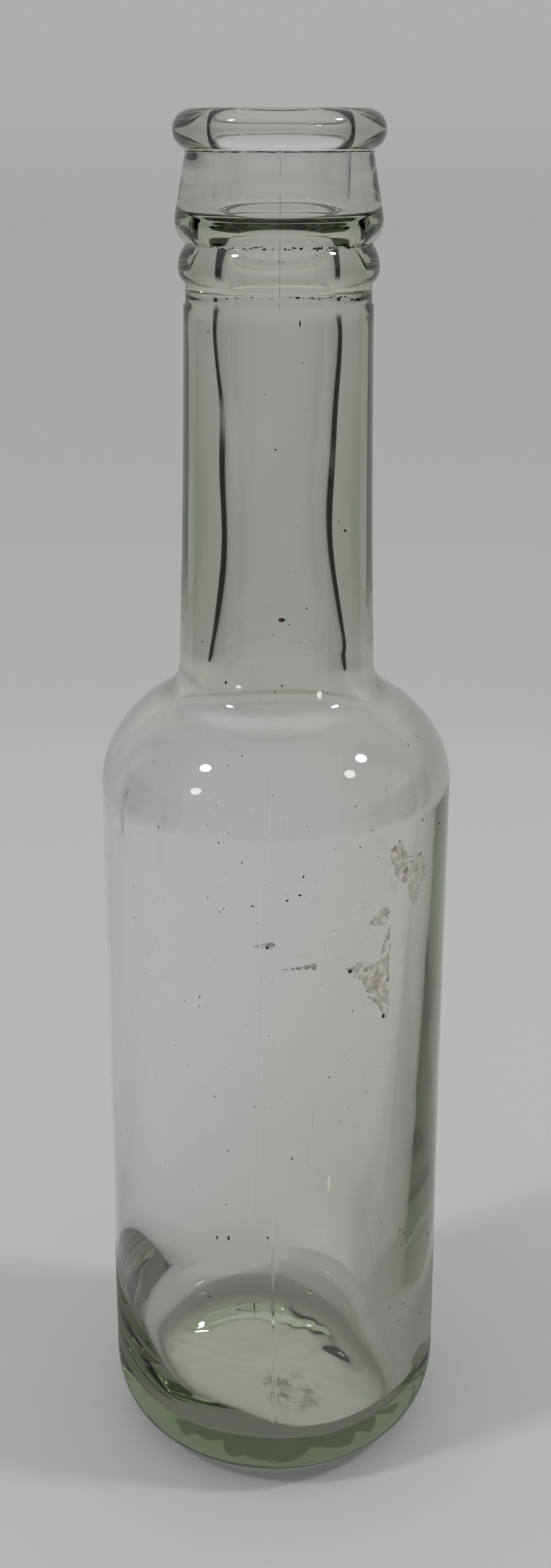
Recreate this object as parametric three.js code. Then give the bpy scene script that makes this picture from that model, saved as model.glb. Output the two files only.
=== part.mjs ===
// Empty sauce bottle of clear, faintly green glass: one blown piece, without a stopper.
// Millimetres, +Z up. The origin is on the bottle's axis, on the surface it stands on.

import * as THREE from 'three';
import { mergeVertices } from 'three/addons/utils/BufferGeometryUtils.js';

// Whole bottle
const height = 200; // from the standing surface to the top of the lip
const segments = 48; // flats round the bottle
const neckLean = 0.75; // how far the lip's centre stands off the base's axis, towards +X
const leanFrom = 60; // height where that lean begins

// Base and body, outside
const recessDepth = 0.7; // shallow hollow under the base, at the edge of its flat middle
const recessCrown = 0.4; // how much deeper it is in the middle
const recessRadius = 11; // where it begins to come down to the ring
const standInner = 17.6; // inner edge of the narrow flat ring that the bottle stands on
const heelReach = 7.3; // rounding from base to body, sideways
const heelRise = 10; // and upwards
const bodyRadiusLow = 25.75; // just above the heel
const bodyRadiusHigh = 25.45; // just under the shoulder

// Shoulder, outside: a quarter of an ellipse, then a hollow curve into the neck
const shoulderFrom = 107.9;
const shoulderRise = 17.4;
const shoulderReach = 23.6;
const shoulderHollow = 5;

// Neck, outside
const neckFootRadius = 13.95;
const neckMidRadius = 13.2; // pull on the curve between foot and top
const neckMidZ = 145;
const neckTopRadius = 12.8;
const neckTopZ = 175.4;
const partingStep = 0.25; // step where the neck mould meets the body mould

// Finish: a small bead, a collar that widens downwards, and a rolled lip
const beadRadius = 13.5;
const beadZ = 180.1;
const beadUnderRound = 2.6;
const beadOverRound = 4.95;
const grooveRadius = 12.41;
const collarRadius = 13.86;
const collarZ = 186.2;
const collarRound = 3.83;
const creaseRadius = 12.38;
const creaseZ = 194.6;
const lipRadius = 14;
const lipRound = 2.6;

// Inside: a wide mouth down to a ledge, a narrow bore, then the body's hollow
const mouthRadius = 9.25;
const mouthEdge = 1; // rounding at the mouth's edge
const ledgeTopZ = 187.6;
const ledgeFootZ = 184.4;
const boreTopRadius = 7.3;
const boreWideRadius = 7.8;
const boreWideZ = 167;
const boreWaistRadius = 7.4;
const boreWaistZ = 141;
const boreFootRadius = 8.9;
const boreFlare = 13; // radius of the curve from the bore out into the hollow's dome
const hollowShoulderZ = 106.5;
const hollowShoulderRise = 15.5;
const hollowRadiusHigh = 23.2;
const hollowRadiusLow = 22;
const hollowShiftHigh = -1.2; // the hollow lies off centre, so the wall at +X is thicker
const hollowShiftLow = -2.75;
const hollowFootZ = 27; // where the side wall begins to curve in to the rim
const footTurn = 52; // how far it has turned, in degrees, when it meets the rim
const rimRadius = 20.6; // rim of the pool in the hollow's floor
const rimZ = 11.4;
const floorEdgeRadius = 19.2; // edge of the pool's flat floor
const floorEdgeZ = 8.2;
const poolStretch = 0.9; // how far the pool is drawn out from round, and drawn in between
const poolTurn = 42; // direction of that, in degrees from +X towards +Y
const floorShift = 0.8; // sideways place of the floor
const floorDish = 0.3; // how much lower its middle is
const floorTilt = 1.6; // how much higher it is at +Y, and lower at -Y
const tiltReach = 10; // height above the foot where that tilt has faded out

const glassColour = 0xc9d6cc;

const rad = THREE.MathUtils.degToRad;
const mix = THREE.MathUtils.lerp;

// Points of an elliptical arc, with angles in degrees from the radial direction
function arc(centreR, centreZ, radiusR, radiusZ, from, to, steps) {
  const curve = new THREE.EllipseCurve(centreR, centreZ, radiusR, radiusZ, rad(from), rad(to), to < from);
  return curve.getPoints(steps);
}

// Angle, in degrees, from a circle's outermost point to where it has come in to a radius
function angleTo(target, outermost, round) {
  return THREE.MathUtils.radToDeg(Math.acos((target - outermost + round) / round));
}

function lean(z) {
  return neckLean * Math.max(0, (z - leanFrom) / (height - leanFrom));
}

// Recess under the base, the ring that it stands on, the heel and the slightly tapered body
function outerBody() {
  const points = [];
  const rings = 6;
  for (let i = 0; i <= rings; i++) {
    const r = (standInner * i) / rings;
    const depth = recessDepth + recessCrown * (1 - (r / standInner) ** 2);
    points.push(new THREE.Vector2(r, depth * (1 - THREE.MathUtils.smoothstep(r, recessRadius, standInner))));
  }
  points.push(...arc(bodyRadiusLow - heelReach, heelRise, heelReach, heelRise, -90, 0, 8));
  const bands = 3;
  for (let i = 1; i < bands; i++) {
    const share = i / bands;
    const z = mix(heelRise, shoulderFrom, share);
    points.push(new THREE.Vector2(mix(bodyRadiusLow, bodyRadiusHigh, share), z));
  }
  return points;
}

// A dome, then a hollow curve up into a neck. The hollow curve's circle touches both the
// dome and the neck, so the dome ends where its offset curve is above the circle's centre.
function domeAndNeck(dome, neckRadius, hollow, domeSteps, hollowSteps) {
  const hollowCentre = neckRadius + hollow;
  const offset = (degrees) => {
    const t = rad(degrees);
    const normal = new THREE.Vector2(Math.cos(t) / dome.reach, Math.sin(t) / dome.rise).normalize();
    const r = dome.centre + dome.reach * Math.cos(t) + hollow * normal.x;
    const z = dome.from + dome.rise * Math.sin(t) + hollow * normal.y;
    return { r, z, slope: THREE.MathUtils.radToDeg(normal.angle()) };
  };
  let low = 0;
  let high = 90;
  while (high - low > 1e-6) {
    const middle = (low + high) / 2;
    if (offset(middle).r > hollowCentre) low = middle;
    else high = middle;
  }
  const touch = offset(low);
  return [
    ...arc(dome.centre, dome.from, dome.reach, dome.rise, 0, low, domeSteps),
    ...arc(hollowCentre, touch.z, hollow, hollow, touch.slope + 180, 180, hollowSteps).slice(1),
  ];
}

// Domed shoulder up to the foot of the neck
function outerShoulder() {
  const dome = {
    centre: bodyRadiusHigh - shoulderReach,
    from: shoulderFrom,
    reach: shoulderReach,
    rise: shoulderRise,
  };
  return domeAndNeck(dome, neckFootRadius, shoulderHollow, 9, 4);
}

// Neck, narrowing upwards in a slight curve to the step left by the neck mould
function outerNeck(footZ) {
  const curve = new THREE.QuadraticBezierCurve(
    new THREE.Vector2(neckFootRadius, footZ),
    new THREE.Vector2(neckMidRadius, neckMidZ),
    new THREE.Vector2(neckTopRadius, neckTopZ),
  );
  return [
    ...curve.getPoints(5).slice(1),
    new THREE.Vector2(neckTopRadius - partingStep, neckTopZ + partingStep),
  ];
}

// Bead, groove and collar. The collar's rounded foot runs into a straight side that
// touches its circle and ends at the crease under the lip.
function outerFinish() {
  const beadUnder = angleTo(neckTopRadius - partingStep, beadRadius, beadUnderRound);
  const beadOver = angleTo(grooveRadius, beadRadius, beadOverRound);
  const collarUnder = angleTo(grooveRadius, collarRadius, collarRound);
  const collarCentre = collarRadius - collarRound;
  const toCrease = new THREE.Vector2(creaseRadius - collarCentre, creaseZ - collarZ);
  const collarOver = THREE.MathUtils.radToDeg(toCrease.angle() - Math.acos(collarRound / toCrease.length()));
  return [
    ...arc(beadRadius - beadUnderRound, beadZ, beadUnderRound, beadUnderRound, -beadUnder, 0, 3),
    ...arc(beadRadius - beadOverRound, beadZ, beadOverRound, beadOverRound, 0, beadOver, 3).slice(1, -1),
    ...arc(collarCentre, collarZ, collarRound, collarRound, -collarUnder, collarOver, 6),
    new THREE.Vector2(creaseRadius, creaseZ),
  ];
}

// Rolled lip, from the crease over the top to the mouth's rounded edge
function lip() {
  const centreZ = height - lipRound;
  const centreR = lipRadius - lipRound;
  const start = -angleTo(creaseRadius, lipRadius, lipRound);
  return [
    ...arc(centreR, centreZ, lipRound, lipRound, start, 90, 9),
    ...arc(mouthRadius + mouthEdge, height - mouthEdge, mouthEdge, mouthEdge, 90, 180, 3),
  ];
}

// Mouth, ledge and narrow bore, downwards
function innerNeck(footZ) {
  const ledgeMidR = (mouthRadius + boreTopRadius) / 2;
  const ledgeMidZ = (ledgeTopZ + ledgeFootZ) / 2;
  const ledgeDrop = ledgeTopZ - ledgeMidZ;
  const bore = new THREE.SplineCurve([
    new THREE.Vector2(boreTopRadius, ledgeFootZ),
    new THREE.Vector2(boreWideRadius, boreWideZ),
    new THREE.Vector2(boreWaistRadius, boreWaistZ),
    new THREE.Vector2(boreFootRadius, footZ),
  ]);
  return [
    ...arc(ledgeMidR, ledgeTopZ, mouthRadius - ledgeMidR, ledgeDrop, 0, -90, 3),
    ...arc(ledgeMidR, ledgeFootZ, ledgeMidR - boreTopRadius, ledgeDrop, 90, 180, 3).slice(1),
    ...bore.getPoints(11).slice(1),
  ];
}

// Flare and domed top of the body's hollow, downwards from the bore
function innerShoulder() {
  const dome = {
    centre: 0,
    from: hollowShoulderZ,
    reach: hollowRadiusHigh,
    rise: hollowShoulderRise,
  };
  return domeAndNeck(dome, boreFootRadius, boreFlare, 5, 4).reverse();
}

// Side of the hollow, the curve at its foot, and the pool with its flat floor
function innerBody() {
  const points = [];
  const bands = 3;
  for (let i = 1; i < bands; i++) {
    const share = i / bands;
    const z = mix(hollowShoulderZ, hollowFootZ, share);
    points.push(new THREE.Vector2(mix(hollowRadiusHigh, hollowRadiusLow, share), z));
  }
  const reach = (hollowRadiusLow - rimRadius) / (1 - Math.cos(rad(footTurn)));
  const fall = (hollowFootZ - rimZ) / Math.sin(rad(footTurn));
  points.push(...arc(hollowRadiusLow - reach, hollowFootZ, reach, fall, 0, -footTurn, 5));
  points.push(new THREE.Vector2(floorEdgeRadius, floorEdgeZ));
  const middle = floorEdgeZ - floorDish;
  points.push(new THREE.Vector2(floorEdgeRadius / 2, middle + floorDish / 4));
  points.push(new THREE.Vector2(0, middle));
  return points;
}

// Sideways place of a point of the hollow: along the neck's lean in the bore, off centre in
// the body, and back the other way at the floor
function hollowShift(point, boreFootZ) {
  const z = point.y;
  if (z > hollowShoulderZ) {
    const share = Math.min(1, (z - hollowShoulderZ) / (boreFootZ - hollowShoulderZ));
    return mix(hollowShiftHigh, 0, share) + lean(z);
  }
  if (z > hollowFootZ) {
    const share = (hollowShoulderZ - z) / (hollowShoulderZ - hollowFootZ);
    return mix(hollowShiftHigh, hollowShiftLow, share) + lean(z);
  }
  const share = Math.min(1, (hollowFootZ - z) / (hollowFootZ - rimZ));
  return mix(hollowShiftLow, floorShift, share * share);
}

// How much of the floor's tilt a point of the hollow takes
function tiltShare(point) {
  const share = THREE.MathUtils.clamp((hollowFootZ + tiltReach - point.y) / tiltReach, 0, 1);
  return (share * share) / Math.max(point.x, floorEdgeRadius);
}

// How much of the pool's stretch a point of the hollow takes
function stretchShare(point) {
  const share = THREE.MathUtils.clamp((hollowFootZ - point.y) / (hollowFootZ - rimZ), 0, 1);
  return share * share * Math.min(1, point.x / floorEdgeRadius) ** 2;
}

// One closed outline, turned round the axis: up the outside, over the lip and down the
// inside. Each ring is then slid sideways to its place, the floor is tilted, and the pool's
// outline is drawn out a little at two sides.
function bottleGeometry() {
  const shoulder = outerShoulder();
  const neckFoot = shoulder[shoulder.length - 1];
  const outside = [...outerBody(), ...shoulder, ...outerNeck(neckFoot.y), ...outerFinish(), ...lip()];
  const flare = innerShoulder();
  const boreFootZ = flare[0].y;
  const inside = [...innerNeck(boreFootZ), ...flare.slice(1), ...innerBody()];
  const outline = [...outside, ...inside];
  const places = [
    ...outside.map((point) => lean(point.y)),
    ...inside.map((point) => hollowShift(point, boreFootZ)),
  ];
  const tilts = [...outside.map(() => 0), ...inside.map((point) => floorTilt * tiltShare(point))];
  const stretches = [...outside.map(() => 0), ...inside.map((point) => poolStretch * stretchShare(point))];

  const turned = new THREE.LatheGeometry(outline, segments);
  turned.rotateX(Math.PI / 2);
  const position = turned.attributes.position;
  for (let i = 0; i < position.count; i++) {
    const ring = i % outline.length;
    const angle = Math.atan2(position.getY(i), position.getX(i));
    const stretch = stretches[ring] * Math.cos(2 * (angle - rad(poolTurn)));
    position.setZ(i, position.getZ(i) + position.getY(i) * tilts[ring]);
    position.setX(i, position.getX(i) + Math.cos(angle) * stretch + places[ring]);
    position.setY(i, position.getY(i) + Math.sin(angle) * stretch);
  }
  turned.deleteAttribute('normal');
  turned.deleteAttribute('uv');
  const closed = mergeVertices(turned, 1e-4);
  closed.computeVertexNormals();
  return closed;
}

function makeBottle() {
  const glass = new THREE.MeshStandardMaterial({
    name: 'glass',
    color: glassColour,
    roughness: 0.05,
    metalness: 0,
    transparent: true,
    opacity: 0.35,
    side: THREE.DoubleSide,
  });
  const bottle = new THREE.Mesh(bottleGeometry(), glass);
  bottle.name = 'bottle';
  return bottle;
}

const model = new THREE.Group();
model.name = 'sauce_bottle';
model.add(makeBottle());

export default model;
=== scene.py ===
import math
import random

import bpy
import numpy as np
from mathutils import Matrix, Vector, noise
from mathutils.bvhtree import BVHTree


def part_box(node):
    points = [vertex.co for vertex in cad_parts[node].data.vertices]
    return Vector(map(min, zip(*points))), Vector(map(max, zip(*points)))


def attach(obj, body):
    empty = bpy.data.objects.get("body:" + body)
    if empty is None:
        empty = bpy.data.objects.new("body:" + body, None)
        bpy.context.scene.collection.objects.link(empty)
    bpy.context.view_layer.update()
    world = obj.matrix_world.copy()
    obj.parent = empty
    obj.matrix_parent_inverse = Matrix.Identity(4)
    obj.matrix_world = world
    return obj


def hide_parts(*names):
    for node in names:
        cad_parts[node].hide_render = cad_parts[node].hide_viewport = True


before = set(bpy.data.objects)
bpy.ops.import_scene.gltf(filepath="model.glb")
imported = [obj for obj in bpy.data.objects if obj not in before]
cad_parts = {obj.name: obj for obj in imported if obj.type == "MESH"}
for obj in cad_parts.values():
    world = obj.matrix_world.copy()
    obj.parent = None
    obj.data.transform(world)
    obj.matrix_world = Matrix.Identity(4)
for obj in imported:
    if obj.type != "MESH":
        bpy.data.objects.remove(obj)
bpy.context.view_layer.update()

# Glass bottle
# One piece of faintly green soda-lime glass, blown in a mould of two halves. The outside
# is as true as the mould. The inside is a free surface, so it is off centre and wavy.

bottle_low, bottle_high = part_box("bottle")
bottle_height = bottle_high.z - bottle_low.z
mm = bottle_height / 200

neck_lean = 0.75 * mm
lean_from = 60 * mm


def arc(centre_r, centre_z, radius_r, radius_z, start, end, steps):
    """Points of an elliptical arc, with angles in degrees from the radial direction."""
    t = np.radians(np.linspace(start, end, steps + 1))
    return np.column_stack([centre_r + radius_r * np.cos(t), centre_z + radius_z * np.sin(t)])


def angle_to(target, outermost, round_radius):
    """Angle from a circle's outermost point to where it has come in to a radius."""
    return math.degrees(math.acos((target - outermost + round_radius) / round_radius))


def lean(z):
    """How far the bottle's centre line stands off its axis at a height."""
    return neck_lean * np.maximum(0, (z - lean_from) / (bottle_height - lean_from))


# base, heel and side
recess_depth = 0.7 * mm
recess_crown = 0.4 * mm
recess_radius = 11 * mm
stand_inner = 17.6 * mm
heel_reach = 7.3 * mm
heel_rise = 10 * mm
body_radius_low = (bottle_high.x - bottle_low.x) / 2
body_radius_high = body_radius_low - 0.3 * mm
shoulder_from = 107.9 * mm
recess_rings = 20
ring_edge_rings = 9
heel_steps = 26


def outer_body():
    """The recess, the ring that it stands on, the heel and the side."""
    inner_r = np.linspace(0, recess_radius, recess_rings)
    r = np.concatenate([inner_r[:-1], np.linspace(recess_radius, stand_inner, ring_edge_rings)])
    share = np.clip((r - recess_radius) / (stand_inner - recess_radius), 0, 1)
    depth = recess_depth + recess_crown * (1 - (r / stand_inner) ** 2)
    base = np.column_stack([r, depth * (1 - share**2 * (3 - 2 * share))])
    heel = arc(body_radius_low - heel_reach, heel_rise, heel_reach, heel_rise, -90, 0, heel_steps)
    z = np.linspace(heel_rise, shoulder_from, 24)
    side = np.column_stack([np.linspace(body_radius_low, body_radius_high, len(z)), z])
    return [base, heel, side[1:-1]]


# shoulder: a dome that runs into the neck by a hollow curve
shoulder_rise = 17.4 * mm
shoulder_reach = 23.6 * mm
shoulder_hollow = 5 * mm
neck_foot_radius = 13.95 * mm


def shoulder_curve(centre_r, centre_z, reach, rise, neck_r, flare, steps):
    """A dome, then a hollow curve that touches both the dome and the neck."""
    hollow_centre = neck_r + flare
    t = np.radians(np.linspace(0, 90, 9001))
    normal = np.column_stack([np.cos(t) / reach, np.sin(t) / rise])
    normal /= np.linalg.norm(normal, axis=1)[:, None]
    offset_r = centre_r + reach * np.cos(t) + flare * normal[:, 0]
    offset_z = centre_z + rise * np.sin(t) + flare * normal[:, 1]
    touch = int(np.argmax(offset_r <= hollow_centre))
    slope = math.degrees(math.atan2(normal[touch, 1], normal[touch, 0]))
    dome = arc(centre_r, centre_z, reach, rise, 0, math.degrees(t[touch]), steps)
    hollow = arc(hollow_centre, offset_z[touch], flare, flare, slope + 180, 180, steps // 3)
    return np.vstack([dome, hollow[1:]])


def outer_shoulder():
    """The outside of the shoulder, up to where the neck begins."""
    dome_centre = body_radius_high - shoulder_reach
    return [shoulder_curve(dome_centre, shoulder_from, shoulder_reach, shoulder_rise, neck_foot_radius,
                           shoulder_hollow, 36)]


# neck: slightly waisted, with a small step at its top where two parts of the mould meet
neck_mid_radius = 13.2 * mm
neck_mid_z = 145 * mm
neck_top_radius = 12.8 * mm
neck_top_z = 175.4 * mm
parting_step = 0.25 * mm


def outer_neck(foot_z):
    """The outside of the neck from its foot, and the small step at its top."""
    t = np.linspace(0, 1, 24)[1:, None]
    foot = np.array([neck_foot_radius, foot_z])
    pull = np.array([neck_mid_radius, neck_mid_z])
    top = np.array([neck_top_radius, neck_top_z])
    curve = foot * (1 - t) ** 2 + 2 * pull * t * (1 - t) + top * t**2
    step = np.array([[neck_top_radius - parting_step, neck_top_z + parting_step]])
    return [curve, step]


# finish: a bead, a groove, a collar, a crease and the rolled lip
bead_radius = 13.5 * mm
bead_z = 180.1 * mm
bead_under_round = 2.6 * mm
bead_over_round = 4.95 * mm
groove_radius = 12.41 * mm
collar_radius = 13.86 * mm
collar_z = 186.2 * mm
collar_round = 3.83 * mm
crease_radius = 12.38 * mm
crease_z = 194.6 * mm
lip_radius = 14 * mm
lip_round = 2.6 * mm
mouth_radius = 9.25 * mm
mouth_edge = 1 * mm


def outer_finish():
    """The bead, the groove and the collar, up to the crease under the lip."""
    bead_under = angle_to(neck_top_radius - parting_step, bead_radius, bead_under_round)
    bead_over = angle_to(groove_radius, bead_radius, bead_over_round)
    collar_under = angle_to(groove_radius, collar_radius, collar_round)
    collar_centre = collar_radius - collar_round
    to_crease = complex(crease_radius - collar_centre, crease_z - collar_z)
    turn = math.atan2(to_crease.imag, to_crease.real) - math.acos(collar_round / abs(to_crease))
    under_centre = bead_radius - bead_under_round
    over_centre = bead_radius - bead_over_round
    under = arc(under_centre, bead_z, bead_under_round, bead_under_round, -bead_under, 0, 12)
    over = arc(over_centre, bead_z, bead_over_round, bead_over_round, 0, bead_over, 14)
    foot = arc(collar_centre, collar_z, collar_round, collar_round, -collar_under, math.degrees(turn), 18)
    side_r = np.linspace(foot[-1, 0], crease_radius, 12)
    side = np.column_stack([side_r, np.linspace(foot[-1, 1], crease_z, 12)])
    return [under, over[1:-1], foot, side[1:]]


def outer_lip():
    """The rolled lip and the rounded edge of the mouth."""
    centre_r = lip_radius - lip_round
    centre_z = bottle_height - lip_round
    start = -angle_to(crease_radius, lip_radius, lip_round)
    roll = arc(centre_r, centre_z, lip_round, lip_round, start, 90, 34)
    edge_r = mouth_radius + mouth_edge
    edge = arc(edge_r, bottle_height - mouth_edge, mouth_edge, mouth_edge, 90, 180, 8)
    return [roll, edge]


# hollow: mouth, ledge, bore, shoulder, side, foot curve and floor
ledge_top_z = 187.6 * mm
ledge_foot_z = 184.4 * mm
bore_radii = [7.3 * mm, 7.8 * mm, 7.4 * mm, 8.9 * mm]
bore_heights = [ledge_foot_z, 167 * mm, 141 * mm, 123.6 * mm]
bore_flare = 13 * mm
hollow_shoulder_z = 106.5 * mm
hollow_shoulder_rise = 15.5 * mm
hollow_radius_high = 23.2 * mm
hollow_radius_low = 22 * mm
hollow_shift_high = -1.2 * mm
hollow_shift_low = -2.75 * mm
hollow_foot_z = 27 * mm
foot_turn = 52
rim_radius = 20.6 * mm
rim_z = 11.4 * mm
rim_round = 0.15 * mm
floor_edge_radius = 19.2 * mm
floor_edge_z = 8.2 * mm
floor_edge_round = 1.6 * mm
floor_shift = 0.8 * mm
floor_dish = 0.3 * mm
floor_tilt = 1.6 * mm
tilt_reach = 10 * mm
least_gap = 0.01 * mm

inner_shoulder = shoulder_curve(0, hollow_shoulder_z, hollow_radius_high, hollow_shoulder_rise,
                                bore_radii[-1], bore_flare, 36)[::-1]


def inner_neck():
    """The mouth, the ledge and the bore, which runs through its radii in one curve."""
    middle_r = (mouth_radius + bore_radii[0]) / 2
    drop = (ledge_top_z - ledge_foot_z) / 2
    mouth_z = np.linspace(bottle_height - mouth_edge, ledge_top_z, 10)[1:-1]
    mouth = np.column_stack([np.full(mouth_z.shape, mouth_radius), mouth_z])
    above = arc(middle_r, ledge_top_z, mouth_radius - middle_r, drop, 0, -90, 10)
    below = arc(middle_r, ledge_foot_z, middle_r - bore_radii[0], drop, 90, 180, 10)
    bore_heights[-1] = inner_shoulder[0, 1]
    z = np.linspace(bore_heights[0], bore_heights[-1], 40)
    curve = np.polyval(np.linalg.solve(np.vander(bore_heights, 4), bore_radii), z)
    return [mouth, above, below[1:], np.column_stack([curve, z])[1:]]


def rounding(before, corner, after, size, steps):
    """A rounded corner between two directions, as a curve that starts and ends a size away."""
    back = (before - corner) / np.linalg.norm(before - corner)
    on = (after - corner) / np.linalg.norm(after - corner)
    t = np.linspace(0, 1, steps)[:, None]
    return (corner + back * size) * (1 - t) ** 2 + 2 * corner * t * (1 - t) + (corner + on * size) * t**2


def inner_body():
    """The hollow from its shoulder down to the middle of its floor."""
    z = np.linspace(hollow_shoulder_z, hollow_foot_z, 48)[1:-1]
    share = (hollow_shoulder_z - z) / (hollow_shoulder_z - hollow_foot_z)
    side = np.column_stack([hollow_radius_high + (hollow_radius_low - hollow_radius_high) * share, z])
    reach = (hollow_radius_low - rim_radius) / (1 - math.cos(math.radians(foot_turn)))
    fall = (hollow_foot_z - rim_z) / math.sin(math.radians(foot_turn))
    foot = arc(hollow_radius_low - reach, hollow_foot_z, reach, fall, 0, -foot_turn, 22)
    rim = foot[-1]
    floor_edge = np.array([floor_edge_radius, floor_edge_z])
    centre = np.array([0, floor_edge_z - floor_dish])
    rim_turn = rounding(foot[-2], rim, floor_edge, rim_round, 8)
    edge_turn = rounding(rim, floor_edge, centre, floor_edge_round, 10)
    foot = foot[foot[:, 1] > rim_turn[0, 1] + least_gap]
    step = rim_turn[-1] + (edge_turn[0] - rim_turn[-1]) * np.linspace(0, 1, 6)[1:-1, None]
    r = np.linspace(edge_turn[-1, 0], 0, 22)[1:]
    floor = np.column_stack([r, floor_edge_z - floor_dish * (1 - (r / floor_edge_radius) ** 2)])
    return [inner_shoulder[1:], side, foot, rim_turn, step, edge_turn, floor]


def hollow_shift(r, z):
    """Sideways place of each ring of the hollow."""
    down = [bottle_height, inner_shoulder[0, 1], hollow_shoulder_z, hollow_foot_z]
    shift = np.interp(-z, [-h for h in down], [0, 0, hollow_shift_high, hollow_shift_low]) + lean(z)
    share = np.clip((hollow_foot_z - z) / (hollow_foot_z - rim_z), 0, 1)
    share = np.where((r < rim_radius) & (z < hollow_foot_z), 1, share)
    return shift + (floor_shift - shift) * share**2


# columns of points around the bottle, closer together at the two mould seams
seam_height = 0.10 * mm
seam_half_width = 0.20 * mm
half_mismatch = 0.05 * mm
even_columns = 176
seam_clearance = math.radians(2.6)
seam_offsets = np.radians([-2.4, -1.5, -1.0, -0.6, -0.3, 0, 0.3, 0.6, 1.0, 1.5, 2.4])
around = np.linspace(0, 2 * math.pi, even_columns, endpoint=False)
for seam in (math.pi / 2, 3 * math.pi / 2):
    around = around[np.abs(around - seam) > seam_clearance]
    around = np.concatenate([around, seam + seam_offsets])
around = np.sort(around)


def seam_relief(r):
    """Seam ridges and the slight mismatch of the mould's halves, fading out under the base."""
    off_seam = np.abs(np.abs(around) % math.pi - math.pi / 2)
    ridge = seam_height * np.exp(-((off_seam[None, :] * r[:, None]) / seam_half_width) ** 2)
    side = half_mismatch * np.where(np.cos(around) > 0, 0.5, -0.5)
    fade = np.clip((r - stand_inner) / (2 * mm), 0, 1)
    return (ridge + side[None, :]) * fade[:, None]


# shallow waves of the free inner surface: turns round the bottle, length and height
waves = ((1, 61 * mm, 0.10 * mm, 0.4), (2, 43 * mm, 0.10 * mm, 2.1), (3, 29 * mm, 0.07 * mm, 4.0),
         (2, 17 * mm, 0.05 * mm, 1.2), (5, 23 * mm, 0.03 * mm, 5.2))
body_waves_low = 0
body_waves_high = 0.32
body_waves_from = 40 * mm
body_waves_to = 100 * mm
body_from_radius = 12 * mm
long_wave = 40 * mm
short_wave_share = 0.3
still_core = 4 * mm
core_edge = 5 * mm


def wave_relief(r, z):
    """Waves of full height in the neck, low ones in the body, and none near the axis."""
    relief = np.zeros((len(r), len(around)))
    body = np.interp(z, [body_waves_from, body_waves_to], [body_waves_low, body_waves_high])
    for turns, length, height, phase in waves:
        in_body = body if length > long_wave else short_wave_share * body
        share = np.where(r > body_from_radius, in_body, 1)
        wave = height * np.sin(turns * around[None, :] + 2 * math.pi * z[:, None] / length + phase)
        relief += wave * share[:, None]
    return relief * np.clip((r - still_core) / core_edge, 0, 1)[:, None]


# an arched fold of the inner surface at the left of the shoulder
fold_angle = math.radians(-140)
fold_z = 105.5 * mm
fold_half_width = 4.6 * mm
fold_half_height = 8.5 * mm
fold_thickness = 1.1 * mm
fold_depth = 0.25 * mm
fold_legs = 0.6


def fold_relief(r, z):
    """A ridge along an arch that is open at its foot."""
    across = (around[None, :] + math.pi) % (2 * math.pi) - math.pi - fold_angle
    across = across * r[:, None] / fold_half_width
    along = (z[:, None] - fold_z) / fold_half_height
    off_ring = (np.hypot(across, along) - 1) * fold_half_width / fold_thickness
    upper = np.clip((along + fold_legs) / fold_legs, 0, 1)
    return -fold_depth * np.exp(-(off_ring**2)) * upper


# uneven outline of the hollow's floor: turns round the bottle, size and direction
floor_outline = ((2, 0.9 * mm, 42), (3, 0.6 * mm, 55), (4, 0.45 * mm, 40), (7, 0.15 * mm, 20))


def foot_relief(r, z):
    """How far the hollow's foot and floor stand out or in, round the bottle."""
    push = np.zeros(len(around))
    for turns, size, direction in floor_outline:
        push += size * np.cos(turns * (around - math.radians(direction)))
    share = np.clip((hollow_foot_z - z) / (hollow_foot_z - rim_z), 0, 1) ** 2
    share = share * np.clip(r / floor_edge_radius, 0, 1) ** 2
    return push[None, :] * share[:, None]


# lumps of the recess and of the hollow's floor: height, size and place in the noise
recess_lumps = ((0.20 * mm, 6 * mm, 3.7), (0.08 * mm, 2.4 * mm, 9.1))
floor_lumps = (0.25 * mm, 9 * mm, 1.3)
floor_reach = 1.5 * mm


def uneven(r, height, size, seed):
    """Smooth random relief over a flat surface, up and down by a height."""
    relief = np.zeros((len(r), len(around)))
    for i, radius in enumerate(r):
        for j, angle in enumerate(around):
            spot = Vector((radius * math.cos(angle) / size, radius * math.sin(angle) / size, seed))
            relief[i, j] = noise.noise(spot)
    return height * relief


outside = np.vstack(outer_body() + outer_shoulder())
outside = np.vstack([outside] + outer_neck(outside[-1, 1]) + outer_finish() + outer_lip())
inside = np.vstack(inner_neck() + inner_body())
in_r, in_z = inside.T
relief = np.vstack([seam_relief(outside[:, 0]),
                    wave_relief(in_r, in_z) + fold_relief(in_r, in_z) + foot_relief(in_r, in_z)])

# the recess and the floor are lumpy, and the floor is tilted
rise_relief = np.zeros((len(outside) + len(inside), len(around)))
recess_count = recess_rings + ring_edge_rings - 1
under = outside[:recess_count, 0]
calm_edge = np.clip((stand_inner - under) / (2 * mm), 0, 1)[:, None]
rise_relief[:recess_count] = calm_edge * sum(uneven(under, *lumps) for lumps in recess_lumps)
tilt_share = np.clip((hollow_foot_z + tilt_reach - in_z) / tilt_reach, 0, 1) ** 2
tilt_share *= np.minimum(1, in_r / floor_edge_radius)
rise_relief[len(outside):] = floor_tilt * tilt_share[:, None] * np.sin(around)[None, :]
on_floor = (in_z < hollow_foot_z) & (in_r < floor_edge_radius + floor_reach)
rise_relief[len(outside):][on_floor] += uneven(in_r[on_floor], *floor_lumps)
places = np.concatenate([lean(outside[:, 1]), hollow_shift(in_r, in_z)])
outline = np.vstack([outside, inside])


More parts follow.
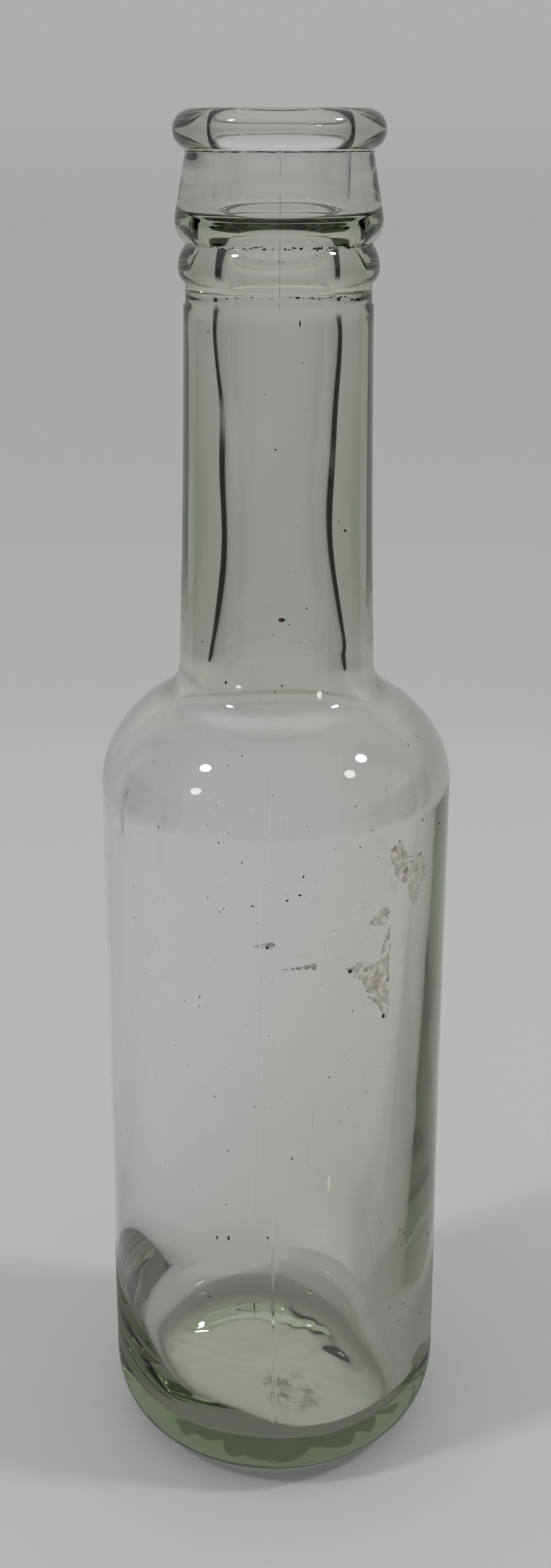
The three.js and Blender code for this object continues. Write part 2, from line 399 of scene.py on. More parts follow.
def turned_points(outline, relief, rise, places):
    """Points and faces of a closed form turned from an outline whose ends lie on the axis."""
    rings = outline[1:-1]
    radius = rings[:, :1] + relief[1:-1]
    x = radius * np.cos(around) + places[1:-1, None]
    y = radius * np.sin(around)
    z = rings[:, 1:] + rise[1:-1]
    points = np.stack([x, y, z], axis=-1).reshape(-1, 3)
    count = len(around)
    ring = np.arange(len(rings) - 1)[:, None] * count
    here = np.arange(count)[None, :]
    after = (here + 1) % count
    quads = np.stack([ring + here, ring + after, ring + count + after, ring + count + here], axis=-1)
    last = (len(rings) - 1) * count
    first_end = len(points)
    fan = [(first_end, (i + 1) % count, i) for i in range(count)]
    fan += [(first_end + 1, last + i, last + (i + 1) % count) for i in range(count)]
    ends = [[places[0], 0, outline[0, 1]], [places[-1], 0, outline[-1, 1]]]
    return np.vstack([points, ends]).tolist(), [tuple(q) for q in quads.reshape(-1, 4).tolist()] + fan


# seed bubbles in the wall: angle from the front, height, depth below the outside and width
bubbles = ((5.9, 58.7, 1.1, 0.32), (31.7, 67.5, 1.0, 0.22), (57.5, 116.6, 0.8, 0.35), (66, 116.9, 0.8, 0.28),
           (-30, 72, 1.2, 0.2), (150, 88, 1.2, 0.3), (-110, 44, 1.4, 0.25), (95, 64, 1.0, 0.2))
bubble_stretch = 1.7


def outer_radius(z):
    """Radius of the outside at a height above the heel."""
    above = outside[recess_count + heel_steps:]
    above = above[: int(np.argmax(above[:, 1]))]
    return float(np.interp(z, above[:, 1], above[:, 0]))


def on_outside(azimuth, z, out=0.0):
    """A point on the outside at an angle in degrees from the front towards the right."""
    r = outer_radius(z) + out
    angle = math.radians(azimuth)
    return Vector((float(lean(z)) + r * math.sin(angle), -r * math.cos(angle), z))


def round_blob(centre, sizes, turns, levels):
    """Points and faces of a closed egg shape with its poles up and down."""
    points = [centre + Vector((0, 0, -sizes[2])), centre + Vector((0, 0, sizes[2]))]
    for level in range(1, levels):
        t = math.pi * level / levels - math.pi / 2
        for turn in range(turns):
            angle = 2 * math.pi * turn / turns
            points.append(centre + Vector((sizes[0] * math.cos(t) * math.cos(angle),
                                           sizes[1] * math.cos(t) * math.sin(angle), sizes[2] * math.sin(t))))
    faces = []
    for turn in range(turns):
        after = (turn + 1) % turns
        faces.append((0, 2 + after, 2 + turn))
        for level in range(levels - 2):
            low = 2 + level * turns
            faces.append((low + turn, low + after, low + turns + after, low + turns + turn))
        top = 2 + (levels - 2) * turns
        faces.append((1, top + turn, top + after))
    return points, faces


def mesh_from(name, points, faces):
    """A smooth-shaded mesh of points and faces."""
    mesh = bpy.data.meshes.new(name)
    mesh.from_pydata([tuple(point) for point in points], [], faces)
    mesh.polygons.foreach_set("use_smooth", [True] * len(mesh.polygons))
    mesh.update()
    return mesh


points, faces = turned_points(outline, relief, rise_relief, places)
for azimuth, height, depth, width in bubbles:
    centre = on_outside(azimuth, height * mm, -depth * mm)
    sizes = (width / 2 * mm, width / 2 * mm, width / 2 * bubble_stretch * mm)
    blob_points, blob_faces = round_blob(centre, sizes, 16, 10)
    first = len(points)
    points += [tuple(point) for point in blob_points]
    # faces turned inward: a bubble is a void in the glass
    faces += [tuple(first + i for i in reversed(face)) for face in blob_faces]
glass_mesh = mesh_from("glass_bottle", points, faces)
glass_bottle = bpy.data.objects.new("glass_bottle", glass_mesh)
bpy.context.scene.collection.objects.link(glass_bottle)

glass = bpy.data.materials.new("bottle_glass")
glass.use_nodes = True
nodes = glass.node_tree.nodes
links = glass.node_tree.links
surface = nodes["Principled BSDF"]
surface.inputs["Base Color"].default_value = (1, 1, 1, 1)
surface.inputs["Metallic"].default_value = 0
surface.inputs["Roughness"].default_value = 0
surface.inputs["IOR"].default_value = 1.52
surface.inputs["Transmission Weight"].default_value = 1
tint = nodes.new("ShaderNodeVolumeAbsorption")
tint.inputs["Color"].default_value = (0.44, 0.53, 0.34, 1)
tint.inputs["Density"].default_value = 50
links.new(tint.outputs["Volume"], nodes["Material Output"].inputs["Volume"])
glass_mesh.materials.append(glass)
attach(glass_bottle, "root")
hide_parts("bottle")

# Label glue
# What is left of a paper label's glue on the front, at the right: thin ragged films with
# holes in them, greyish, and darker where dirt has caught. Two small smudges are like them.

film_gap = 0.010 * mm
film_rings = 16
film_turns = 96
film_least = 0.7
film_lumps = 0.6
edge_push = 0.22
# pushes along an edge: waves per mm and share
edge_waves = ((1.6, 1), (4.5, 0.5))
# name and angle from the front in degrees, then height, thickness and the outline's corners in mm
glue_patches = (
    ("glue_upper", 46, 100.5, 0.05,
     ((-3.8, 3.9), (-1.5, 4.8), (0.4, 1.8), (3.4, 1.7), (4.9, -1.4),
      (3.4, -3.0), (2.6, -6.2), (1.0, -5.2), (0.2, -2.4), (-2.2, -0.4))),
    ("glue_middle", 34.5, 94.8, 0.07,
     ((-1.7, -0.6), (-0.4, 0.9), (1.2, 1.5), (1.9, 0.2), (0.9, -1.4), (-0.6, -1.3))),
    ("glue_lower", 34, 87, 0.06,
     ((-4.7, 1.0), (-2.6, 1.7), (-0.6, 0.8), (0.9, 1.5), (1.5, 5.0), (2.1, 5.7),
      (2.2, -4.0), (2.4, -8.5), (0.6, -6.6), (-1.4, -4.4), (-2.4, -1.6))),
    ("smudge_upper", -3.6, 92.5, 0.03,
     ((-1.6, -0.25), (0.0, 0.30), (1.2, 0.55), (1.7, 0.0), (1.1, -0.5), (-0.4, -0.4))),
    ("smudge_lower", 7, 89, 0.02,
     ((-2.6, -0.15), (0.0, 0.2), (1.8, 0.5), (2.7, 0.4), (2.5, -0.4), (0.0, -0.25))),
)


def ragged_edge(corners, seed):
    """Points along a closed outline of corners, pushed in and out a little."""
    corners = [np.array(corner) for corner in corners]
    edge = []
    steps = film_turns // len(corners) + 1
    for start, end in zip(corners, corners[1:] + corners[:1]):
        for step in range(steps):
            point = start + (end - start) * step / steps
            push = 0
            for wave, share in edge_waves:
                push += share * noise.noise(Vector((point[0] * wave, point[1] * wave, seed)))
            edge.append(point * (1 + edge_push * push))
    return edge


def laid_outside(azimuth, height):
    """How a film lies on the outside, round a place given as an angle and a height."""
    def lay(across, up, out):
        z = (height + up) * mm
        turn = azimuth + math.degrees(across * mm / outer_radius(z))
        return on_outside(turn, z, film_gap + out)
    return lay


def film_mesh(name, lay, thickness, corners, seed):
    """A thin closed film of a flat outline laid on the glass, thickest in its middle."""
    edge = ragged_edge(corners, seed)
    turns = len(edge)
    points = []
    for side in (1, 0):
        for ring in range(film_rings + 1):
            share = ring / film_rings
            for point in (edge if ring else edge[:1]):
                across, up = point * share
                lumpy = film_least + film_lumps * noise.noise(Vector((across * 2, up * 2, seed + 5)))
                swell = thickness * mm * (1 - share**6) * lumpy if side else 0
                points.append(lay(across, up, max(0, swell)))
    layer = 1 + film_rings * turns
    faces = []
    for i in range(turns):
        after = (i + 1) % turns
        faces.append((0, 1 + i, 1 + after))
        faces.append((layer, layer + 1 + after, layer + 1 + i))
        for ring in range(film_rings - 1):
            low = 1 + ring * turns
            high = low + turns
            faces.append((low + i, high + i, high + after, low + after))
            faces.append((layer + low + after, layer + high + after, layer + high + i, layer + low + i))
        rim = 1 + (film_rings - 1) * turns
        faces.append((rim + i, layer + rim + i, layer + rim + after, rim + after))
    return mesh_from(name, points, faces)


def feed(socket, value):
    """Sets a socket to a value, or links another node's output to it."""
    if isinstance(value, bpy.types.NodeSocket):
        links.new(value, socket)
    else:
        socket.default_value = value


def math_node(operation, *values):
    """A math node in the tree at hand, with numbers or other nodes' outputs as its inputs."""
    node = nodes.new("ShaderNodeMath")
    node.operation = operation
    for socket, value in zip(node.inputs, values):
        feed(socket, value)
    return node.outputs["Value"]


def smooth_step(value, low, high, top=1):
    """From 0 at low to top at high, softly."""
    node = nodes.new("ShaderNodeMapRange")
    node.interpolation_type = "SMOOTHSTEP"
    for name, given in (("Value", value), ("From Min", low), ("From Max", high), ("To Max", top)):
        feed(node.inputs[name], given)
    return node.outputs["Result"]


def mixed(share, first, second):
    """Two colours mixed by a share."""
    node = nodes.new("ShaderNodeMix")
    node.data_type = "RGBA"
    for name, value in (("Factor", share), ("A", first), ("B", second)):
        feed(node.inputs[name], value)
    return node.outputs["Result"]


def blotches(size, detail, roughness=0.5):
    """Soft noise fixed to the piece, with patches of about a size."""
    place = nodes.new("ShaderNodeTexCoord")
    node = nodes.new("ShaderNodeTexNoise")
    links.new(place.outputs["Object"], node.inputs["Vector"])
    feed(node.inputs["Scale"], math_node("DIVIDE", 1, size))
    node.inputs["Detail"].default_value = detail
    node.inputs["Roughness"].default_value = roughness
    return node.outputs["Fac"]


# the look of a deposit: its colour and how much of it is left both vary over it
grime_size = 1.1 * mm
grime_dirty_below = 0.30
grime_clean_above = 0.50
deposit = bpy.data.node_groups.new("worn_deposit", "ShaderNodeTree")
for label, kind in (("Clean Colour", "Color"), ("Dirty Colour", "Color"), ("Hole Size", "Float"),
                    ("Bare Below", "Float"), ("Whole Above", "Float"), ("Thickest", "Float")):
    deposit.interface.new_socket(label, in_out="INPUT", socket_type="NodeSocket" + kind)
for label, kind in (("Colour", "Color"), ("Amount", "Float"), ("Height", "Float")):
    deposit.interface.new_socket(label, in_out="OUTPUT", socket_type="NodeSocket" + kind)
nodes = deposit.nodes
links = deposit.links
given = nodes.new("NodeGroupInput").outputs
group_out = nodes.new("NodeGroupOutput").inputs
clean_share = nodes.new("ShaderNodeMapRange")
clean_share.inputs["From Min"].default_value = grime_dirty_below
clean_share.inputs["From Max"].default_value = grime_clean_above
links.new(blotches(grime_size, 6), clean_share.inputs["Value"])
worn = blotches(given["Hole Size"], 5, 0.65)
amount = smooth_step(worn, given["Bare Below"], given["Whole Above"], given["Thickest"])
colour = mixed(clean_share.outputs["Result"], given["Dirty Colour"], given["Clean Colour"])
links.new(colour, group_out["Colour"])
links.new(amount, group_out["Amount"])
links.new(worn, group_out["Height"])


def deposit_material(name, clean, dirty, hole_size, bare_below, whole_above, thickest):
    """A rough, thin deposit, with the group's own values for it."""
    material = bpy.data.materials.new(name)
    material.use_nodes = True
    surface = material.node_tree.nodes["Principled BSDF"]
    look = material.node_tree.nodes.new("ShaderNodeGroup")
    look.name = "worn_deposit"
    look.node_tree = deposit
    for label, value in (("Clean Colour", (*clean, 1)), ("Dirty Colour", (*dirty, 1)),
                         ("Hole Size", hole_size), ("Bare Below", bare_below),
                         ("Whole Above", whole_above), ("Thickest", thickest)):
        look.inputs[label].default_value = value
    bump = material.node_tree.nodes.new("ShaderNodeBump")
    bump.inputs["Distance"].default_value = 0.04 * mm
    bump.inputs["Strength"].default_value = 0.6
    join = material.node_tree.links.new
    join(look.outputs["Colour"], surface.inputs["Base Color"])
    join(look.outputs["Amount"], surface.inputs["Alpha"])
    join(look.outputs["Height"], bump.inputs["Height"])
    join(bump.outputs["Normal"], surface.inputs["Normal"])
    surface.inputs["Roughness"].default_value = 0.85
    surface.inputs["Specular IOR Level"].default_value = 0.2
    return material


glue = deposit_material("dried_glue", (0.74, 0.71, 0.62), (0.30, 0.27, 0.22), 0.9 * mm, 0.43, 0.55, 0.68)
smudge = deposit_material("grey_smudge", (0.5, 0.48, 0.44), (0.12, 0.11, 0.10), 0.6 * mm, 0.42, 0.54, 0.68)
for seed, (name, azimuth, height, thickness, corners) in enumerate(glue_patches):
    patch_mesh = film_mesh(name, laid_outside(azimuth, height), thickness, corners, 3.1 * seed + 0.7)
    patch_mesh.materials.append(smudge if name.startswith("smudge") else glue)
    patch = bpy.data.objects.new(name, patch_mesh)
    bpy.context.scene.collection.objects.link(patch)
    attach(patch, "root")

# Dried film in the foot
# What dried on the hollow's floor near the front: a thin brownish grey film, broken up and
# fading out towards its edge. It is laid on the floor from above.

glass_tree = BVHTree.FromPolygons([point.co for point in glass_mesh.vertices],
                                  [face.vertices for face in glass_mesh.polygons])
look_down_z = 16 * mm
residue_x = 3.2
residue_y = -9.8
residue_half_width = 8
residue_half_depth = 6
residue_thickness = 0.03
residue_full_to = 0.3


def laid_on_floor(across, back, out):
    """How a film lies on the floor, round the film's middle."""
    start = Vector(((residue_x + across) * mm, (residue_y + back) * mm, look_down_z))
    spot = glass_tree.ray_cast(start, Vector((0, 0, -1)))[0]
    return spot + Vector((0, 0, film_gap + out))


oval = [(residue_half_width * math.cos(math.pi * i / 6), residue_half_depth * math.sin(math.pi * i / 6))
        for i in range(12)]
residue_mesh = film_mesh("floor_residue", laid_on_floor, residue_thickness, oval, 8.4)
floor_residue = bpy.data.objects.new("floor_residue", residue_mesh)
bpy.context.scene.collection.objects.link(floor_residue)
residue = deposit_material("dried_residue", (0.62, 0.60, 0.52), (0.26, 0.24, 0.19), 2.4 * mm, 0.43, 0.63, 0.5)
nodes = residue.node_tree.nodes
links = residue.node_tree.links
place = nodes.new("ShaderNodeTexCoord")
from_middle = nodes.new("ShaderNodeVectorMath")
from_middle.operation = "DISTANCE"
from_middle.inputs[1].default_value = laid_on_floor(0, 0, 0)
links.new(place.outputs["Object"], from_middle.inputs[0])
fade_from = residue_half_depth * mm
fade = smooth_step(from_middle.outputs["Value"], fade_from, residue_full_to * fade_from)
amount = nodes["worn_deposit"].outputs["Amount"]
links.new(math_node("MULTIPLY", amount, fade), nodes["Principled BSDF"].inputs["Alpha"])
residue_mesh.materials.append(residue)
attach(floor_residue, "root")

# Dirt and painted shade
# Old dark dirt that has caught in the grooves of the finish and along the mould's parting
# line, and fine specks of it over the neck and the body. Each speck is a small flat grain.
# Thin lines of the same dark grains in the crease under the lip and up the seam of the
# finish are painted shade.

speck_draw = random.Random(11)
groove_z = 183.2 * mm
parting_z = 177.3 * mm
# painted shade: the height of a thin dark line of grains in the crease under the lip
crease_shade_z = 194.75 * mm
# painted shade: the angle of a thin dark line of grains up the seam in the finish
seam_shade_azimuth = 0.4
groove_grains = 95
parting_grains = 70
crease_shade_grains = 150
seam_shade_grains = 24
loose_specks = 230
grain_roughness = 0.35
grain_rough_size = 0.12 * mm
# specks that stand out: angle from the front in degrees, then height, width and length in mm
marks = ((2.6, 135.2, 1.0, 0.55), (6.5, 134.6, 0.25, 0.2), (43, 146.6, 0.55, 0.4), (38, 148, 0.3, 0.2),
         (12.2, 174.0, 0.25, 0.9), (-1.5, 158, 0.3, 0.2), (8.5, 102.6, 0.25, 0.45), (-10.3, 104.6, 0.2, 0.35),
         (-19.0, 45.0, 0.22, 0.8), (-15.0, 45.3, 0.35, 0.9), (-2.1, 45.9, 0.3, 0.35), (49.9, 40.7, 0.2, 0.7),
         (54.4, 39.5, 0.2, 0.7), (68, 35.7, 0.2, 0.8), (50.3, 27.8, 0.35, 0.35), (62.7, 22.8, 0.2, 0.6),
         (47.5, 25.5, 0.3, 0.25), (-22, 34.5, 0.35, 0.35), (-2.4, 92.2, 0.45, 0.4), (7.4, 99.9, 0.5, 0.3),
         (3.6, 99.2, 0.4, 0.3), (-7, 98.3, 0.6, 0.2), (24, 87.6, 0.7, 0.6), (37, 79.2, 0.5, 0.8),
         (31, 108, 0.3, 0.2), (66, 104.6, 0.35, 0.35), (-48, 131, 0.3, 0.25), (-30, 126, 0.35, 0.5))


def grain(azimuth, z, across, up, thick, tilt=0.0):
    """Points and faces of one flat grain that lies on the outside."""
    centre = on_outside(azimuth, z, thick / 2)
    points, faces = round_blob(Vector(), (across / 2, thick, up / 2), 7, 5)
    angle = math.radians(azimuth)
    lean_over = math.radians(tilt)
    turned = []
    for x, y, z_up in points:
        rough = 1 + grain_roughness * noise.noise(Vector((x, y, z_up)) / grain_rough_size + centre / mm)
        sideways = (x * math.cos(lean_over) - z_up * math.sin(lean_over)) * rough
        upwards = (x * math.sin(lean_over) + z_up * math.cos(lean_over)) * rough
        turned.append(centre + Vector((sideways * math.cos(angle) - y * math.sin(angle),
                                       sideways * math.sin(angle) + y * math.cos(angle), upwards)))
    return turned, faces


def joined(name, grains):
    """One mesh of many grains."""
    points = []
    faces = []
    for grain_points, grain_faces in grains:
        first = len(points)
        points += grain_points
        faces += [tuple(first + i for i in face) for face in grain_faces]
    return mesh_from(name, points, faces)


grains = [grain(azimuth, z * mm, across * mm, up * mm, 0.06 * mm) for azimuth, z, across, up in marks]
for _ in range(groove_grains):
    azimuth = speck_draw.gauss(28, 30) if speck_draw.random() < 0.6 else speck_draw.uniform(-180, 180)
    z = groove_z + speck_draw.gauss(0, 0.10 * mm)
    across = speck_draw.uniform(0.12, 0.6) * mm
    up = speck_draw.uniform(0.08, 0.28) * mm
    grains.append(grain(azimuth, z, across, up, 0.07 * mm))
for _ in range(parting_grains):
    azimuth = speck_draw.gauss(38, 18) if speck_draw.random() < 0.6 else speck_draw.uniform(-180, 180)
    z = parting_z - 0.9 * mm * speck_draw.random() * (azimuth / 60 if 0 < azimuth < 60 else 0.5)
    across = speck_draw.uniform(0.12, 0.7) * mm
    up = speck_draw.uniform(0.06, 0.18) * mm
    grains.append(grain(azimuth, z, across, up, 0.05 * mm))
# painted shade: a thin dark line of grains along the crease under the lip
for _ in range(crease_shade_grains):
    azimuth = speck_draw.uniform(-70, 70) if speck_draw.random() < 0.7 else speck_draw.uniform(-180, 180)
    z = crease_shade_z + speck_draw.gauss(0, 0.03 * mm)
    across = speck_draw.uniform(0.5, 1.6) * mm
    up = speck_draw.uniform(0.05, 0.12) * mm
    grains.append(grain(azimuth, z, across, up, 0.05 * mm))
# painted shade: a thin dark line of grains up the seam in the finish
for _ in range(seam_shade_grains):
    z = speck_draw.uniform(176, 194) * mm
    grains.append(grain(seam_shade_azimuth, z, 0.05 * mm, speck_draw.uniform(0.5, 1.6) * mm, 0.09 * mm))
for _ in range(loose_specks):
    azimuth = speck_draw.gauss(0, 45) if speck_draw.random() < 0.7 else speck_draw.uniform(-180, 180)
    z = speck_draw.gauss(92, 22) if speck_draw.random() < 0.7 else speck_draw.uniform(14, 174)
    size = 0.07 + 0.16 * speck_draw.random() ** 3
    if 12 < z < 176:
        up = size * speck_draw.uniform(0.8, 2.2) * mm
        grains.append(grain(azimuth, z * mm, size * mm, up, 0.03 * mm, speck_draw.uniform(-40, 40)))
dirt_and_shade_mesh = joined("dirt_and_shade_specks", grains)
dirt_and_shade_specks = bpy.data.objects.new("dirt_and_shade_specks", dirt_and_shade_mesh)
bpy.context.scene.collection.objects.link(dirt_and_shade_specks)
# dark browns for the dirt and for the painted shade lines of grains
dirt_and_shade = bpy.data.materials.new("old_dirt_and_painted_shade")
dirt_and_shade.use_nodes = True
nodes = dirt_and_shade.node_tree.nodes
links = dirt_and_shade.node_tree.links
surface = nodes["Principled BSDF"]
browns = nodes.new("ShaderNodeValToRGB")
browns.color_ramp.elements[0].position = 0.4
browns.color_ramp.elements[0].color = (0.018, 0.016, 0.013, 1)
browns.color_ramp.elements[1].position = 0.65
browns.color_ramp.elements[1].color = (0.09, 0.062, 0.038, 1)
links.new(blotches(0.7 * mm, 2), browns.inputs["Fac"])
links.new(browns.outputs["Color"], surface.inputs["Base Color"])
surface.inputs["Roughness"].default_value = 0.8
surface.inputs["Specular IOR Level"].default_value = 0.25
dirt_and_shade_mesh.materials.append(dirt_and_shade)
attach(dirt_and_shade_specks, "root")

# Scratches
# Fine pale scuffs in the surface of the body, most of them short and nearly upright. They
# are thin matt slivers on the glass.

scuff_draw = random.Random(5)
# scuffs that stand out: angle from the front, height, length in mm and lean in degrees
long_scuffs = ((-18.7, 50.0, 1.5, 6), (12.6, 66, 4.5, -4), (11.0, 60.5, 5.0, -5), (-19.6, 89.6, 2.4, -38),
               (-21.4, 88.2, 1.4, -25), (52, 112.5, 2.2, 40), (44, 109, 1.6, 55), (60, 107, 2.0, 62),
               (-25, 53, 1.0, 20), (30, 71, 1.2, -30))
short_scuffs = 60
sliver_thickness = 0.02 * mm
slivers = [grain(azimuth, z * mm, 0.07 * mm, length * mm, sliver_thickness, tilt)
           for azimuth, z, length, tilt in long_scuffs]
for _ in range(short_scuffs):
    slivers.append(grain(scuff_draw.uniform(-180, 180), scuff_draw.uniform(14, 112) * mm, 0.05 * mm,
                         scuff_draw.uniform(0.4, 1.6) * mm, sliver_thickness, scuff_draw.gauss(0, 35)))
scuff_mesh = joined("scuff_marks", slivers)
scuff_marks = bpy.data.objects.new("scuff_marks", scuff_mesh)
bpy.context.scene.collection.objects.link(scuff_marks)
scuffed = bpy.data.materials.new("scuffed_glass")
scuffed.use_nodes = True
nodes = scuffed.node_tree.nodes
links = scuffed.node_tree.links
surface = nodes["Principled BSDF"]
surface.inputs["Base Color"].default_value = (0.72, 0.74, 0.72, 1)
surface.inputs["Roughness"].default_value = 0.55
shown = nodes.new("ShaderNodeMapRange")
shown.inputs["From Min"].default_value = 0.35
shown.inputs["From Max"].default_value = 0.65
shown.inputs["To Min"].default_value = 0.1
shown.inputs["To Max"].default_value = 0.7
links.new(blotches(0.5 * mm, 2), shown.inputs["Value"])
links.new(shown.outputs["Result"], surface.inputs["Alpha"])
scuff_mesh.materials.append(scuffed)
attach(scuff_marks, "root")

# Floor
# A plain pale sheet under the bottle, which fades into the pale room around it. The bottle
# gathers light onto it, which stands in the sheet as a soft glow under the glass.

sheet_radius = 0.45
sheet_drop = 0.0006
sheet_fades_from = 0.12
sheet_fades_to = 0.42
glow_full_to = 14 * mm
glow_ends_at = 22 * mm
glow_strength = 0.30
dim_full_to = 48 * mm
dim_ends_at = 60 * mm
floor_mesh = bpy.data.meshes.new("studio_floor")
corners = [(x * sheet_radius, y * sheet_radius, -sheet_drop) for x, y in ((-1, -1), (1, -1), (1, 1), (-1, 1))]
floor_mesh.from_pydata(corners, [], [(0, 1, 2, 3)])
floor_mesh.update()
studio_floor = bpy.data.objects.new("studio_floor", floor_mesh)
bpy.context.scene.collection.objects.link(studio_floor)

sheet = bpy.data.materials.new("pale_sheet")
sheet.use_nodes = True
nodes = sheet.node_tree.nodes
links = sheet.node_tree.links
surface = nodes["Principled BSDF"]
surface.inputs["Base Color"].default_value = (0.70, 0.695, 0.70, 1)
surface.inputs["Roughness"].default_value = 1
surface.inputs["Specular IOR Level"].default_value = 0
place = nodes.new("ShaderNodeTexCoord")
distance = nodes.new("ShaderNodeVectorMath")
distance.operation = "LENGTH"
links.new(place.outputs["Object"], distance.inputs[0])
out_from_bottle = distance.outputs["Value"]
surface.inputs["Emission Color"].default_value = (1, 1, 0.97, 1)
glow = smooth_step(out_from_bottle, glow_ends_at, glow_full_to, glow_strength)
links.new(glow, surface.inputs["Emission Strength"])
# near the bottle, the sheet is dim for light that the glass has turned back inside itself
dim_sheet = nodes.new("ShaderNodeEmission")
dim_sheet.inputs["Color"].default_value = (0.175, 0.175, 0.168, 1)
path = nodes.new("ShaderNodeLightPath")
turned = math_node("GREATER_THAN", path.outputs["Glossy Depth"], 0.5)
near = smooth_step(out_from_bottle, dim_ends_at, dim_full_to)
in_glass = nodes.new("ShaderNodeMixShader")
links.new(math_node("MULTIPLY", turned, near), in_glass.inputs["Fac"])
links.new(surface.outputs["BSDF"], in_glass.inputs[1])
links.new(dim_sheet.outputs["Emission"], in_glass.inputs[2])
clear = nodes.new("ShaderNodeBsdfTransparent")
blend = nodes.new("ShaderNodeMixShader")
links.new(smooth_step(out_from_bottle, sheet_fades_from, sheet_fades_to), blend.inputs["Fac"])
links.new(in_glass.outputs["Shader"], blend.inputs[1])
links.new(clear.outputs["BSDF"], blend.inputs[2])
links.new(blend.outputs["Shader"], nodes["Material Output"].inputs["Surface"])
floor_mesh.materials.append(sheet)

# Low ring of painted shade
# A low ring of dark card round the foot of the bottle. It is painted shade: it stands in for
# the shadowed sheet under the heel. It shows only in light that the glass has turned back
# inside itself, where it gives the heel its dark crescent.

screen_radius = 40 * mm
screen_height = 14 * mm
screen_low = -0.5 * mm
screen_sides = 96
ring = [2 * math.pi * i / screen_sides for i in range(screen_sides)]
screen_points = [(screen_radius * math.cos(angle), screen_radius * math.sin(angle), z)
                 for z in (screen_low, screen_height) for angle in ring]
screen_faces = [(i, (i + 1) % screen_sides, screen_sides + (i + 1) % screen_sides, screen_sides + i)
                for i in range(screen_sides)]
screen_mesh = mesh_from("heel_shade_screen", screen_points, screen_faces)
heel_shade_screen = bpy.data.objects.new("heel_shade_screen", screen_mesh)
bpy.context.scene.collection.objects.link(heel_shade_screen)

heel_shade_card = bpy.data.materials.new("painted_heel_shade")
heel_shade_card.use_nodes = True
nodes = heel_shade_card.node_tree.nodes
links = heel_shade_card.node_tree.links
nodes.remove(nodes["Principled BSDF"])
# painted shade: a flat grey emission in place of the shadowed sheet under the heel
heel_shade_emission = nodes.new("ShaderNodeEmission")
heel_shade_emission.inputs["Color"].default_value = (0.31, 0.305, 0.305, 1)
clear = nodes.new("ShaderNodeBsdfTransparent")
path = nodes.new("ShaderNodeLightPath")
turned = math_node("GREATER_THAN", path.outputs["Glossy Depth"], 0.5)
from_glass = math_node("GREATER_THAN", path.outputs["Transmission Depth"], 0.5)
lighting = math_node("MAXIMUM", path.outputs["Is Shadow Ray"], path.outputs["Is Diffuse Ray"])
shown = math_node("MAXIMUM", math_node("SUBTRACT", math_node("MULTIPLY", turned, from_glass), lighting), 0)
heel_shade_blend = nodes.new("ShaderNodeMixShader")
links.new(shown, heel_shade_blend.inputs["Fac"])
links.new(clear.outputs["BSDF"], heel_shade_blend.inputs[1])
links.new(heel_shade_emission.outputs["Emission"], heel_shade_blend.inputs[2])
links.new(heel_shade_blend.outputs["Shader"], nodes["Material Output"].inputs["Surface"])
screen_mesh.materials.append(heel_shade_card)

# Room
# Soft pale light from all round, a little brighter overhead. Two dark flags stand at the
# sides. They show only in light that the glass has bent or turned, as streaks in it.

room = bpy.data.worlds.new("studio_room")
bpy.context.scene.world = room
room.use_nodes = True
nodes = room.node_tree.nodes
links = room.node_tree.links
background = nodes["Background"]
direction = nodes.new("ShaderNodeTexCoord")
parts = nodes.new("ShaderNodeSeparateXYZ")
links.new(direction.outputs["Generated"], parts.inputs["Vector"])
height_share = nodes.new("ShaderNodeMapRange")
height_share.inputs["From Min"].default_value = -1
height_share.inputs["From Max"].default_value = 1
links.new(parts.outputs["Z"], height_share.inputs["Value"])


def light_ramp(*stops):
    """Light over height, from 0 straight down to 1 straight up."""
    node = nodes.new("ShaderNodeValToRGB")
    ramp = node.color_ramp
    ramp.interpolation = "EASE"
    while len(ramp.elements) < len(stops):
        ramp.elements.new(1)
    for element, (position, level) in zip(ramp.elements, stops):
        element.position = position
        element.color = (level, level * 0.99, level, 1)
    links.new(height_share.outputs["Result"], node.inputs["Fac"])
    return node.outputs["Color"]


# the flags: half their spread round each side in degrees, and how steeply up and down they reach
flag_half_spread = 28
flag_soft_edge = 2
flag_top = (0.2, 0.1)
flag_foot = (-0.34, -0.26)
flag_dark = (0.02, 0.02, 0.02, 1)
x = parts.outputs["X"]
y = parts.outputs["Y"]
z = parts.outputs["Z"]
flat_length = math_node("SQRT", math_node("ADD", math_node("MULTIPLY", x, x), math_node("MULTIPLY", y, y)))
sideways = math_node("DIVIDE", math_node("ABSOLUTE", x), flat_length)
flag_edge_out = math.cos(math.radians(flag_half_spread + flag_soft_edge))
flag_edge_in = math.cos(math.radians(flag_half_spread - flag_soft_edge))
flag = smooth_step(sideways, flag_edge_out, flag_edge_in)
flag = math_node("MULTIPLY", flag, smooth_step(z, *flag_top))
flag = math_node("MULTIPLY", flag, smooth_step(z, *flag_foot))
light_path = nodes.new("ShaderNodeLightPath")
turned = math_node("GREATER_THAN", light_path.outputs["Glossy Depth"], 0.5)
through = light_path.outputs["Transmission Depth"]
in_wall = math_node("MULTIPLY", math_node("GREATER_THAN", through, 0.5), math_node("LESS_THAN", through, 2.5))
bent = math_node("MAXIMUM", turned, in_wall)
from_sheet = math_node("GREATER_THAN", light_path.outputs["Diffuse Depth"], 0.5)
flag_shows = math_node("MULTIPLY", math_node("MULTIPLY", flag, bent), math_node("SUBTRACT", 1, from_sheet))
seen_light = light_ramp((0.0, 0.46), (0.3, 0.47), (0.36, 0.43), (0.42, 0.40),
                        (0.48, 0.395), (0.52, 0.43), (0.8, 0.55), (1.0, 0.66))
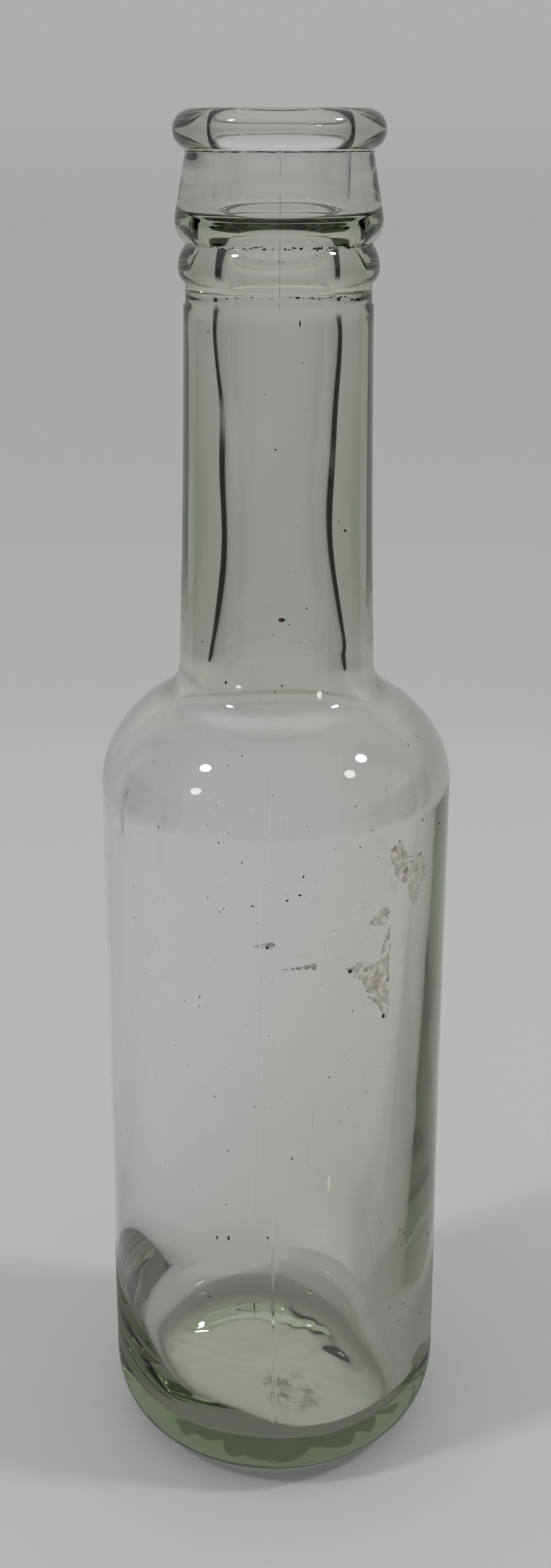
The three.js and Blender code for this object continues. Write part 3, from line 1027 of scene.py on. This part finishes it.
turned_light = light_ramp((0.0, 0.46), (0.4, 0.40), (0.5, 0.37), (0.7, 0.50), (1.0, 0.66))
overhead_light = light_ramp((0.5, 0.24), (0.62, 0.28), (0.8, 0.47), (1.0, 0.6))
bent_light = mixed(flag_shows, mixed(turned, seen_light, turned_light), flag_dark)
links.new(mixed(from_sheet, bent_light, overhead_light), background.inputs["Color"])

# Lamps
# Two small round lamps, high at the left and the right, for the sparks on the glass.

lamp_distance = 1.0
lamp_width = 0.12
lamp_power = 1.8
lamp_aim_z = 0.12
for lamp_name, azimuth, elevation in (("left_lamp", -117, 45), ("right_lamp", 99, 45)):
    level = math.cos(math.radians(elevation))
    towards = Vector((
        math.sin(math.radians(azimuth)) * level,
        math.cos(math.radians(azimuth)) * level,
        math.sin(math.radians(elevation)),
    ))
    data = bpy.data.lights.new(lamp_name, "AREA")
    data.shape = "DISK"
    data.size = lamp_width
    data.energy = lamp_power
    lamp = bpy.data.objects.new(lamp_name, data)
    lamp.location = Vector((0, 0, lamp_aim_z)) + towards * lamp_distance
    lamp.rotation_euler = towards.to_track_quat("Z", "Y").to_euler()
    bpy.context.scene.collection.objects.link(lamp)

# Camera
# Close to the bottle, level with its lip and looking down at its foot.

camera_distance = 249.98 * mm
camera_height = 197.42 * mm
camera_aside = 0.2 * mm
camera_pitch = math.radians(19.93)
focal_pixels = 2967
frame_height_pixels = 2576
film_width = 36
camera_data = bpy.data.cameras.new("photo_camera")
camera_data.sensor_width = film_width
camera_data.lens = film_width * focal_pixels / frame_height_pixels
camera_data.clip_start = 0.01
camera = bpy.data.objects.new("photo_camera", camera_data)
camera.location = (camera_aside, -camera_distance, camera_height)
camera.rotation_euler = (math.pi / 2 - camera_pitch, 0, 0)
bpy.context.scene.collection.objects.link(camera)
bpy.context.scene.camera = camera

bpy.context.scene.view_settings.view_transform = "Standard"
# light needs many turns to find its way out of thick glass
most_turns = 24
most_mirror_turns = 16
bpy.context.scene.cycles.max_bounces = most_turns
bpy.context.scene.cycles.transmission_bounces = most_turns
bpy.context.scene.cycles.glossy_bounces = most_mirror_turns
